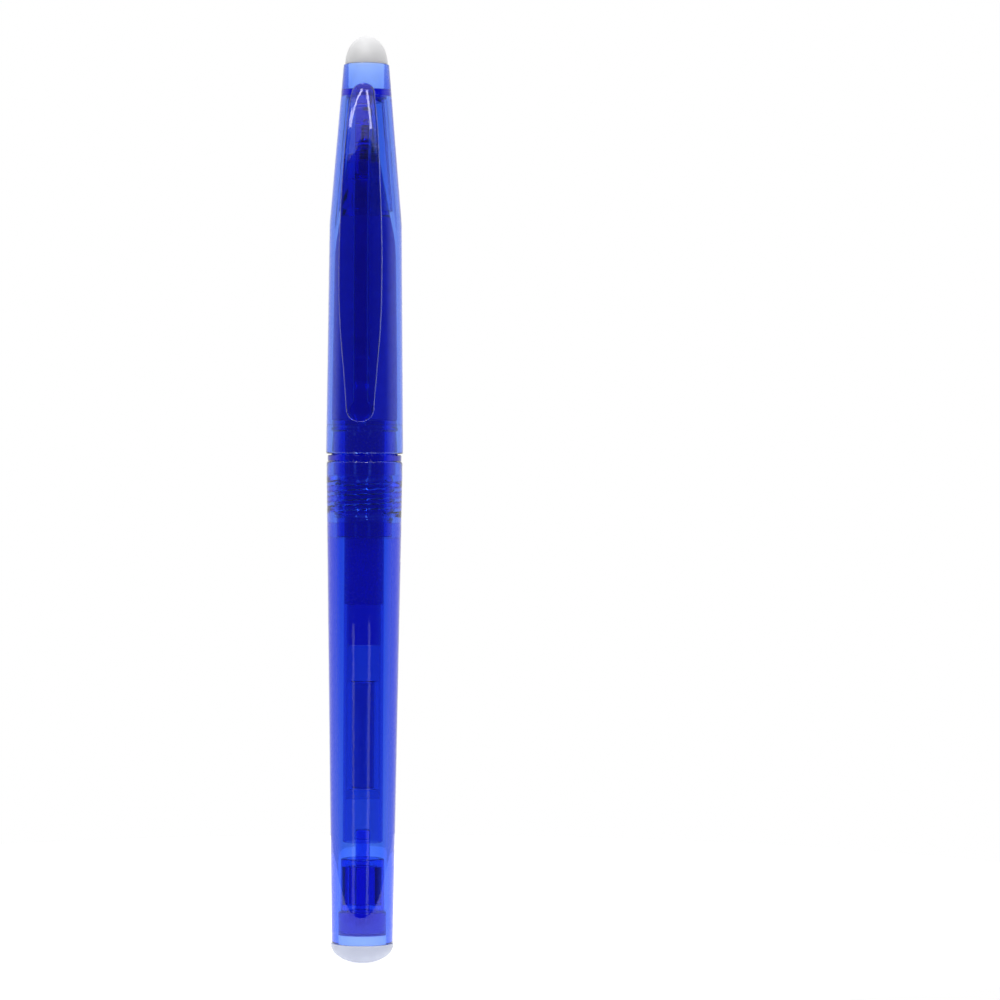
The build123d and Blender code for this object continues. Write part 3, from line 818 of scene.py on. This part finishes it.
def refill_tube_clear():
    """Thin clear tube, open at its rear end, with the holder in its front end."""
    inner = tube_radius - TUBE_WALL
    front = tube_front - TUBE_SEAT_GAP
    piece = lathe(
        "refill_tube_clear",
        [
            (inner, tube_rear, 0.1),
            (tube_radius, tube_rear, 0.15),
            (tube_radius, front, 0.05),
            (inner, front, 0.03),
        ],
    )
    return finished(piece, tube_plastic, "refill", "refill_plastic", "refill_tube")


def ink_fill():
    """Ink from its curved rear surface to the holder."""
    radius = tube_radius - TUBE_WALL + INK_WETTING
    low = low_of("ink_column")
    high = high_of("ink_column")
    shares = (0, 0.25, 0.5, 0.75)
    hollow = [(radius * share, low + INK_HOLLOW * (1 - share**2)) for share in shares]
    corners = [*hollow, (radius, low), (radius, high, 0.1), (0, high)]
    piece = lathe("ink_fill", corners)
    return finished(piece, ink, "refill", "ink", "ink_column")


def grease_fill():
    """Clear grease behind the ink, stained by it at the front, with the float sunk in it."""
    wall_gap = 0.015
    ink_gap = 0.05
    radius = tube_radius - TUBE_WALL - wall_gap
    low = low_of("grease_follower")
    high = high_of("grease_follower") - ink_gap
    stain = high - STAINED_LENGTH
    float_radius = radius_of("follower_float") + FIT
    float_low = low_of("follower_float") - FIT
    float_high = high_of("follower_float") + FIT
    piece = lathe(
        "grease_fill",
        [(0, low + GREASE_DISH), (radius, low), (radius, stain - FIT, 0.05), (0, stain - FIT)],
    )
    hollow = lathe(
        "float_hollow",
        [
            (0, float_low),
            (float_radius, float_low, FLOAT_CHAMFER),
            (float_radius, float_high, FLOAT_CHAMFER),
            (0, float_high),
        ],
    )
    join_solids(piece, [hollow], "DIFFERENCE")
    finished(piece, grease_gel, "refill", "grease", "grease_follower")
    front = lathe(
        "grease_stained",
        [(0, stain), (radius, stain, 0.05), (radius, high), (0, high + GREASE_DISH)],
    )
    return finished(front, stained_gel, "refill", "grease")


def follower_float_rod():
    """Rod that floats in the grease, with chamfered ends."""
    radius = radius_of("follower_float")
    low = low_of("follower_float")
    high = high_of("follower_float")
    piece = lathe(
        "follower_float_rod",
        [
            (0, low),
            (radius - FLOAT_CHAMFER, low, 0.1),
            (radius, low + FLOAT_CHAMFER, 0.1),
            (radius, high - FLOAT_CHAMFER, 0.1),
            (radius - FLOAT_CHAMFER, high, 0.1),
            (0, high),
        ],
    )
    return finished(piece, float_plastic, "refill", "float_plastic", "follower_float")


def tip_holder_moulded():
    """Holder: spigot in the tube, step, long cone and a socket for the metal point."""
    low = low_of("tip_holder")
    high = high_of("tip_holder")
    step_front = tube_front + HOLDER_STEP_LENGTH
    inner = tube_radius - TUBE_WALL - FIT
    socket = point_radius + FIT / 2
    socket_end = low_of("point_body") - FIT / 2
    piece = lathe(
        "tip_holder_moulded",
        [
            (HOLDER_CHANNEL, low),
            (inner, low, 0.2),
            (inner, tube_front),
            (tube_radius, tube_front, 0.05),
            (tube_radius, step_front, 0.2),
            (HOLDER_NECK_RADIUS, nose_rear - CORE_FRONT_LENGTH, 0.8),
            (HOLDER_FRONT_RADIUS, high, 0.1),
            (socket, high, 0.03),
            (socket, socket_end),
            (HOLDER_CHANNEL, socket_end),
        ],
    )
    return finished(piece, holder_plastic, "refill", "holder_plastic", "tip_holder")


def point_body_turned():
    """Metal point: shank, cylinder, small step, cone and rolled lip round the ball."""
    low = low_of("point_body")
    lip = high_of("point_body")
    cone_rear = lip - POINT_CONE
    recess = low + POINT_FEED_RECESS
    ball = (high_of("point_ball") - low_of("point_ball")) / 2
    centre = high_of("point_ball") - ball
    piece = lathe(
        "point_body_turned",
        [
            (0, recess),
            (HOLDER_CHANNEL, recess),
            (HOLDER_CHANNEL, low),
            (point_radius, low, 0.1),
            (point_radius, cone_rear - CONE_STEP_HALF, 0.05),
            (point_radius - CONE_STEP, cone_rear + CONE_STEP_HALF, 0.04),
            (POINT_WAIST_RADIUS, lip - POINT_WAIST_SETBACK, 0.4),
            (POINT_LIP_RADIUS + 0.02, lip - POINT_LIP_LENGTH, 0.06),
            (POINT_LIP_RADIUS - 0.03, lip, 0.04),
            (ball + 0.005, lip - 0.05, 0.02),
            (ball + 0.02, centre - 0.1),
            (POINT_FEED_RADIUS, centre - ball - 0.03),
            (0, centre - ball - 0.1),
        ],
    )
    return finished(piece, point_metal, "refill", "point_metal", "point_body")


def point_ball_polished():
    """The ball, turned from half a circle."""
    radius = (high_of("point_ball") - low_of("point_ball")) / 2
    centre = (high_of("point_ball") + low_of("point_ball")) / 2
    arc = [math.pi * (step / DOME_STEPS - 0.5) for step in range(DOME_STEPS + 1)]
    corners = [(max(0, radius * math.cos(turn)), centre + radius * math.sin(turn)) for turn in arc]
    piece = lathe("point_ball_polished", corners)
    return finished(piece, ball_metal, "ball", "ball_carbide", "point_ball")


# ---------------------------------------------------------------- cap


def cap_wall():
    """The cap's turned body: bore with snap rib, end wall, and socket for the eraser."""
    mouth_bore = cap_radius - CAP_WALL
    snap_rib = neck_top + BEAD_WIDTH / 2 - SNAP_RIB_SETBACK
    step = cap_mouth + CAP_SOCKET_DEPTH
    inner_top = cap_outer_at(end_wall) - CAP_WALL
    socket_bottom = end_wall + CAP_END_WALL
    stem = ERASER_STEM_RADIUS + FIT
    return lathe(
        "cap_clear",
        [
            (0, end_wall),
            (inner_top, end_wall, 0.1),
            (cap_shoulder_radius - CAP_WALL, cap_shoulder, CAP_SHOULDER_FILLET),
            (mouth_bore - CAP_BORE_STEP, step, 0.05),
            (mouth_bore, step, 0.05),
            (mouth_bore, snap_rib + SNAP_RIB_HALF, 0.1),
            (bead_radius + SNAP_RIB_PLAY, snap_rib, 0.1),
            (mouth_bore, snap_rib - SNAP_RIB_HALF, 0.1),
            (mouth_bore, cap_mouth, 0.1),
            (cap_radius, cap_mouth, 0.3),
            (cap_shoulder_radius, cap_shoulder, CAP_SHOULDER_FILLET),
            (CAP_TOP_RADIUS, cap_top, 0.12),
            (stem, cap_top, 0.05),
            (stem, socket_bottom, 0.1),
            (0, socket_bottom),
        ],
    )


# The clip's outer edge, as (drop from its top, distance from the axis).
CLIP_OUTER = (
    (0.0, 4.6),
    (0.4, 5.45),
    (1.2, 6.2),
    (3.0, 7.25),
    (5.6, 8.05),
    (9.5, 8.82),
    (15.6, 9.68),
    (27.0, 10.20),
    (35.0, 10.16),
    (44.1, 9.74),
    (49.0, 9.52),
    (52.0, 9.62),
    (54.2, 9.82),
)
# Its rib's inner edge below the root, with the bump that bites the cloth.
CLIP_INNER = (
    (14.8, 6.35),
    (19.0, 6.28),
    (27.0, 6.37),
    (38.0, 6.58),
    (44.0, 6.76),
    (45.6, 6.70),
    (46.6, 6.42),
    (47.6, 6.44),
    (48.8, 6.72),
    (51.5, 6.86),
    (53.0, 7.0),
    (54.2, 7.35),
)
# Half its width seen from the front, away from its rounded ends.
CLIP_HALF_WIDTH = (
    (0.0, 1.72),
    (1.5, 1.84),
    (7.4, 2.50),
    (15.6, 3.02),
    (25.4, 3.40),
    (34.5, 3.40),
    (39.5, 3.20),
    (45.6, 2.72),
    (49.6, 2.40),
    (54.2, 2.12),
)


def along(points, place):
    """The value at a place on a smooth curve through (place, value) points."""
    count = len(points)
    index = max(0, min(count - 2, sum(1 for point in points if point[0] <= place) - 1))
    (start, low), (end, high) = points[index], points[index + 1]
    before = points[max(0, index - 1)]
    after = points[min(count - 1, index + 2)]
    slope_in = (high - before[1]) / (end - before[0])
    slope_out = (after[1] - low) / (after[0] - start)
    length = end - start
    share = clamped((place - start) / length)
    square, cube = share * share, share**3
    return (
        low * (2 * cube - 3 * square + 1)
        + high * (3 * square - 2 * cube)
        + slope_in * length * (cube - 2 * square + share)
        + slope_out * length * (cube - square)
    )


def round_end(depth, radius):
    """How far a quarter circle of a radius has risen at a depth from its end, as a share of it."""
    if depth >= radius:
        return 1.0
    return math.sqrt(max(0.0, 1 - (1 - depth / radius) ** 2))


def clip_inner_at(drop, left):
    """Distance from the axis to the rib's inner edge, or to its web's sunk edge above the root."""
    height = clip_top - drop
    if height > clip_root:
        rib_edge = along(CLIP_INNER, clip_top - clip_root)
        share = clamped((height - clip_root) / WEB_RISE)
        return rib_edge + (cap_outer_at(height) - WEB_SINK - rib_edge) * share
    return along(CLIP_INNER, drop) + CLIP_TIP_RISE * (1 - round_end(left, CLIP_TIP_INNER))


def rib_half_at(left, half):
    """Half the rib's width, which widens to a round pad near the clip's end."""
    rib = RIB_HALF
    off_pad = left - PAD_FROM_END
    if abs(off_pad) < PAD_RADIUS:
        rib = max(rib, math.sqrt(PAD_RADIUS**2 - off_pad**2))
    return min(rib, RIB_SHARE * half)


def quarter_turn(steps):
    """The sine and cosine at even steps of a quarter turn."""
    turns = [math.pi / 2 * step / steps for step in range(steps + 1)]
    return [(math.sin(turn), math.cos(turn)) for turn in turns]


def clip_section(drop):
    """Half the clip's T-shaped section at a drop from its top, as (across, distance) points."""
    left = clip_top - clip_end - drop
    ends = min(round_end(drop, CLIP_TOP_ROUNDING), round_end(left, CLIP_FOOT_ROUNDING))
    half = max(along(CLIP_HALF_WIDTH, drop) * ends, CLIP_THINNEST)
    outer = along(CLIP_OUTER, drop) - CLIP_TIP_OUTER * (1 - round_end(left, CLIP_TIP_OUTER))
    inner = clip_inner_at(drop, left)
    rib = rib_half_at(left, half)
    arch = CLIP_ARCH * min(1.0, half / CLIP_ARCH_HALF)
    depth = min(CLIP_THICKNESS, outer - inner - RIB_LEAST_DEPTH)
    under = outer - depth
    edge = min((depth - arch) / 2, CLIP_UPPER_EDGE, half / 2)
    points = []
    for step in range(CROWN_STEPS + 1):
        across = (half - edge) * step / CROWN_STEPS
        points.append((across, outer - arch * (across / half) ** 2))
    shoulder = points[-1][1] - edge
    for sine, cosine in quarter_turn(ARC_STEPS)[1:]:
        points.append((half - edge + edge * sine, shoulder + edge * cosine))
    lower = min(CLIP_LOWER_EDGE, edge, max(CLIP_THINNEST, CLIP_EDGE_SHARE * (shoulder - under)))
    for sine, cosine in quarter_turn(ARC_STEPS):
        points.append((half - lower + lower * cosine, under + lower - lower * sine))
    fillet = max(0.0, min(RIB_FILLET, RIB_EDGE_SHARE * (half - lower - rib)))
    for sine, cosine in quarter_turn(FILLET_STEPS):
        points.append((rib + fillet - fillet * sine, under - fillet + fillet * cosine))
    corner = min(RIB_CORNER, rib / 2, RIB_EDGE_SHARE * (under - inner))
    for sine, cosine in quarter_turn(FILLET_STEPS):
        points.append((rib - corner + corner * cosine, inner + corner - corner * sine))
    points.append((rib / 4, inner))
    return points


def clip_stretch(name, drops):
    """A closed stretch of the clip through its sections at the given drops from its top."""
    work = bmesh.new()
    rings = []
    for drop in drops:
        half_ring = clip_section(drop)
        other = [(-across, distance) for across, distance in reversed(half_ring[1:])]
        height = clip_top - drop
        ring = [(across, -distance, height) for across, distance in half_ring + other]
        rings.append([work.verts.new([value * MM for value in place]) for place in ring])
    for ring, following in zip(rings, rings[1:]):
        stitch(work, ring, following)
    work.faces.new(rings[0])
    work.faces.new(rings[-1])
    return new_piece(name, work)


def teardrop(distance, height):
    """A drop-shaped cutter through the clip's web, with its point down and outwards."""
    lean = math.radians(TEARDROP_LEAN)
    arc = math.radians(TEARDROP_ARC)
    outline = []
    for step in range(DOME_STEPS + 1):
        turn = arc * (step / DOME_STEPS - 0.5)
        outline.append((-TEARDROP_RADIUS * math.cos(turn), TEARDROP_RADIUS * math.sin(turn)))
    outline.append((TEARDROP_POINT * TEARDROP_RADIUS, 0))
    placed = []
    for reach, rise in outline:
        outwards = reach * math.cos(lean) - rise * math.sin(lean)
        upwards = reach * math.sin(lean) + rise * math.cos(lean)
        placed.append((distance + outwards, height + upwards))
    return prism("teardrop_cutter", placed, 2 * RIB_HALF)


def cap_fins():
    """Thin fins down the cap's bore, tapered at their lower ends, that centre the inner cap."""
    low = nose_rear - FIN_REACH
    taper_top = low + FIN_TAPER
    high = end_wall - INNER_CAP_FLANGE - FIN_GAP
    mouth = radius_of("inner_cap")
    top_radius = INNER_CAP_TOP_RADIUS + INNER_CAP_WALL
    inner_low = between(mouth, top_radius, low_of("inner_cap"), end_wall, taper_top) + FIN_GAP
    inner_high = top_radius + FIN_GAP
    outline = [
        (cap_outer_at(low) - SUNK, low),
        (cap_outer_at(low) - CAP_WALL, low),
        (inner_low, taper_top),
        (inner_high, high),
        (cap_outer_at(high) - SUNK, high),
    ]
    turns = [2 * math.pi * index / FIN_COUNT for index in range(FIN_COUNT)]
    return [prism("cap_fin", outline, FIN_THICKNESS / 2, turn) for turn in turns]


def clip_head():
    """The clip's fixed head, with closer sections near its rounded top."""
    length = clip_top - clip_root - CLIP_ROOT_GAP
    return clip_stretch("clip_head", [length * (1 - cosine) for _, cosine in quarter_turn(HEAD_STEPS)])


def clip_boss():
    """The block on the cap that the clip's bump closes on."""
    middle = clip_end + BOSS_SETBACK
    tip = along(CLIP_INNER, clip_top - middle) - BOSS_GAP
    root = cap_outer_at(middle) - SUNK
    outline = [
        (root, middle - BOSS_ROOT_HALF),
        (tip, middle - BOSS_TIP_HALF),
        (tip, middle + BOSS_TIP_HALF),
        (root, middle + BOSS_ROOT_HALF),
    ]
    return prism("clip_boss", outline, RIB_HALF + BOSS_PROUD)


def cap_clear():
    """The cap with its fins, and with its clip's head, pierced web and boss, all one moulding."""
    piece = cap_wall()
    join_solids(piece, [clip_head(), clip_boss(), *cap_fins()], "UNION")
    holes = []
    for index in range(TEARDROP_COUNT):
        height = clip_top - TEARDROP_DROP - TEARDROP_SPACING * index
        reach = cap_outer_at(height) + TEARDROP_REACH + TEARDROP_SPLAY * index
        holes.append(teardrop(reach, height))
    join_solids(piece, holes, "DIFFERENCE")
    return finished(piece, blue, "cap", "clear_blue", "cap_shell")


def clip_arm_clear():
    """The clip's springy arm below its root, with closer sections near its end."""
    first = clip_top - clip_root
    length = clip_root - clip_end
    piece = clip_stretch("clip_arm_clear", [first + length * sine for sine, _ in quarter_turn(ARM_STEPS)])
    shade(piece)
    piece.data.materials.append(blue)
    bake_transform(piece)
    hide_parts("clip_arm")
    return piece


def cap_eraser_soft():
    """Soft white dome with a stem in the cap's socket."""
    base = radius_of("cap_eraser")
    stem = ERASER_STEM_RADIUS
    seat = cap_top + FIT
    dome_base = seat + ERASER_BAND
    rise = high_of("cap_eraser") - dome_base
    low = end_wall + CAP_END_WALL + FIT
    plug = lathe("cap_eraser_stem", [(0, low), (stem, low, 0.2), (stem, cap_top, 0.03), (0, cap_top)])
    finished(plug, stem_white_painted_glow, "cap", "eraser_white")
    piece = lathe(
        "cap_eraser_soft",
        [(0, seat), (base, seat, 0.08), *half_ellipse(base, dome_base, rise)[1:]],
    )
    return finished(piece, cap_white, "cap", "eraser_white", "cap_eraser")


def inner_cap_clear():
    """Thin cup inside the cap that closes over the nose."""
    mouth = low_of("inner_cap")
    mouth_bore = radius_of("inner_cap") - INNER_CAP_WALL
    top_outer = INNER_CAP_TOP_RADIUS + INNER_CAP_WALL
    top_inner = end_wall - INNER_CAP_TOP
    flange = cap_outer_at(end_wall) - CAP_WALL - INNER_CAP_PLAY
    top = end_wall - FIT
    piece = lathe(
        "inner_cap_clear",
        [
            (0, top),
            (flange, top, 0.05),
            (flange, top - INNER_CAP_FLANGE, 0.1),
            (top_outer, top - INNER_CAP_FLANGE, 0.1),
            (mouth_bore + INNER_CAP_WALL, mouth, 0.1),
            (mouth_bore, mouth, 0.1),
            (INNER_CAP_TOP_RADIUS, top_inner, 0.2),
            (0, top_inner),
        ],
    )
    return finished(piece, blue, "cap", "clear_blue", "inner_cap")


# ---------------------------------------------------------------- studio


def floor():
    """Plain pale floor under the pen, with a faint mottle and some light of its own."""
    work = bmesh.new()
    bmesh.ops.create_circle(work, cap_ends=True, segments=96, radius=FLOOR_RADIUS)
    bmesh.ops.translate(work, verts=work.verts, vec=(0, FLOOR_RADIUS - FLOOR_FRONT, cad_low.z))
    piece = new_piece("studio_floor", work)
    material, tree, shader = new_material("studio_floor")
    mottle = colours(tree, noise(tree, 3), (0.48, 0.48, 0.48), (0.50, 0.50, 0.50))
    tree.links.new(mottle, shader.inputs["Base Color"])
    shader.inputs["Emission Color"].default_value = (1, 1, 1, 1)
    shader.inputs["Emission Strength"].default_value = FLOOR_GLOW
    shader.inputs["Roughness"].default_value = 0.9
    shader.inputs["Specular IOR Level"].default_value = 0.0
    piece.data.materials.append(material)


def light(name, turn, distance, height, width, length, radiance):
    """A soft area light that faces the pen; turn is in degrees from the -Y side towards +X."""
    lamp = bpy.data.lights.new(name, "AREA")
    lamp.shape = "RECTANGLE"
    lamp.size = width
    lamp.size_y = length
    lamp.energy = radiance * math.pi * width * length
    holder = bpy.data.objects.new(name, lamp)
    bpy.context.scene.collection.objects.link(holder)
    angle = math.radians(turn)
    holder.location = (distance * math.sin(angle), -distance * math.cos(angle), height)
    middle = Vector((0, 0, (cad_low.z + cad_high.z) / 2))
    holder.rotation_euler = (middle - holder.location).to_track_quat("-Z", "Y").to_euler()


def grey(tone):
    """An opaque grey as four numbers."""
    return (tone, tone, tone, 1)


def surroundings():
    """White room that is darker on the camera's side, and plain white where it is seen directly."""
    world = bpy.data.worlds.new("studio")
    bpy.context.scene.world = world
    world.use_nodes = True
    tree = world.node_tree
    background = tree.nodes["Background"]
    place = tree.nodes.new("ShaderNodeTexCoord")
    split = tree.nodes.new("ShaderNodeSeparateXYZ")
    tree.links.new(place.outputs["Generated"], split.inputs["Vector"])
    ramp = tree.nodes.new("ShaderNodeValToRGB")
    elements = ramp.color_ramp.elements
    elements.remove(elements[-1])
    elements[0].position = ROOM_TONES[0][0]
    elements[0].color = grey(ROOM_TONES[0][1])
    for position, tone in ROOM_TONES[1:]:
        elements.new(position).color = grey(tone)
    side = tree.nodes.new("ShaderNodeMapRange")
    side.inputs["From Min"].default_value = -1.0
    side.inputs["From Max"].default_value = 1.0
    tree.links.new(split.outputs["Y"], side.inputs["Value"])
    tree.links.new(side.outputs["Result"], ramp.inputs["Fac"])
    above = tree.nodes.new("ShaderNodeMapRange")
    above.inputs["From Min"].default_value = SKY_START
    above.inputs["From Max"].default_value = SKY_FULL
    tree.links.new(split.outputs["Z"], above.inputs["Value"])
    sky = tree.nodes.new("ShaderNodeMixRGB")
    sky.inputs["Color2"].default_value = grey(SKY_TONE)
    tree.links.new(above.outputs["Result"], sky.inputs["Fac"])
    tree.links.new(ramp.outputs["Color"], sky.inputs["Color1"])
    tree.links.new(sky.outputs["Color"], background.inputs["Color"])
    plain = tree.nodes.new("ShaderNodeBackground")
    plain.inputs["Color"].default_value = grey(1.0)
    plain.inputs["Strength"].default_value = 1.0
    path = tree.nodes.new("ShaderNodeLightPath")
    mix = tree.nodes.new("ShaderNodeMixShader")
    tree.links.new(path.outputs["Is Camera Ray"], mix.inputs["Fac"])
    tree.links.new(background.outputs["Background"], mix.inputs[1])
    tree.links.new(plain.outputs["Background"], mix.inputs[2])
    tree.links.new(mix.outputs["Shader"], tree.nodes["World Output"].inputs["Surface"])


def camera():
    """Level camera at the pen's middle height, with the pen left of the picture's centre."""
    data = bpy.data.cameras.new("camera")
    data.sensor_width = 36
    data.lens = data.sensor_width * CAMERA_DISTANCE / FIELD
    data.clip_start = 0.01
    data.clip_end = 20
    holder = bpy.data.objects.new("camera", data)
    bpy.context.scene.collection.objects.link(holder)
    turn = math.radians(CAMERA_TURN)
    middle = (cad_low.z + cad_high.z) / 2
    spot = Matrix.Rotation(turn, 4, "Z") @ Vector((CAMERA_ASIDE, -CAMERA_DISTANCE, 0))
    holder.location = (spot.x, spot.y, middle)
    aim = Matrix.Rotation(turn, 4, "Z") @ Matrix.Rotation(math.pi / 2, 4, "X")
    roll = Matrix.Rotation(math.radians(CAMERA_ROLL), 4, "Z")
    holder.rotation_euler = (aim @ roll).to_euler()
    bpy.context.scene.camera = holder


def studio():
    """Floor, lights, white surroundings, camera, and enough light bounces for nested clear plastic."""
    floor()
    for settings in LIGHTS:
        light(*settings)
    surroundings()
    camera()
    scene = bpy.context.scene
    scene.view_settings.view_transform = "Standard"
    scene.cycles.max_bounces = 48
    scene.cycles.transmission_bounces = 48
    scene.cycles.glossy_bounces = 12


studio()
barrel_clear()
tail_plug_clear()
tail_eraser_soft()
grip_section_clear()
grip_sleeve_rubber()
refill_tube_clear()
ink_fill()
grease_fill()
follower_float_rod()
tip_holder_moulded()
point_body_turned()
point_ball_polished()
cap_clear()
clip_arm_clear()
cap_eraser_soft()
inner_cap_clear()

bpy.context.view_layer.update()
